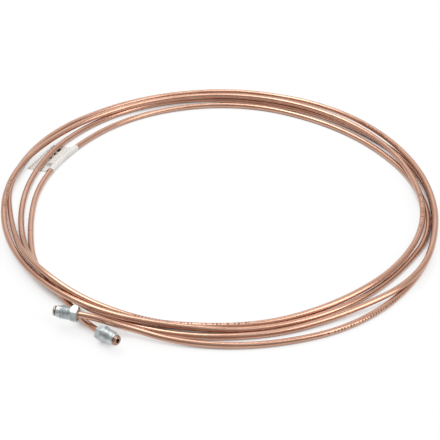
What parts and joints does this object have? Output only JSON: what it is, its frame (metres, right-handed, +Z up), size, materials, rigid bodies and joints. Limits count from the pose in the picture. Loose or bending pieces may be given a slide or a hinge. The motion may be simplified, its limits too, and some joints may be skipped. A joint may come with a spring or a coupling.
{
  "type": "copper tube coil",
  "caption": "Flat loose coil of soft copper tube with flared ends, a steel tube nut on each end and a plain paper flag label around one turn.",
  "frame": {"origin": "on the floor, under the middle of the coil's outline", "axes": "+Z up from the floor the coil lies on, -Y towards the side where the two nuts are, +X to the right seen from there"},
  "size_m": [0.3592, 0.359, 0.0186],
  "materials": {
    "copper": "drawn, satin",
    "zinc_steel": "bright zinc plated",
    "label_paper": "matt"
  },
  "bodies": {
    "coil": {"copper_tube": "copper", "label": "label_paper"},
    "start_nut": {"start_nut": "zinc_steel"},
    "finish_nut": {"finish_nut": "zinc_steel"}
  },
  "joints": [
    {"name": "start_nut_turn", "type": "hinge", "parent": "coil", "child": "start_nut", "pos_m": [-0.10027, -0.15302, 0.01264], "axis": [-0.9796, 0.1993, 0.0244], "continuous": true},
    {"name": "finish_nut_turn", "type": "hinge", "parent": "coil", "child": "finish_nut", "pos_m": [-0.08408, -0.16492, 0.00696], "axis": [0.7342, -0.6634, 0.1444], "continuous": true}
  ]
}
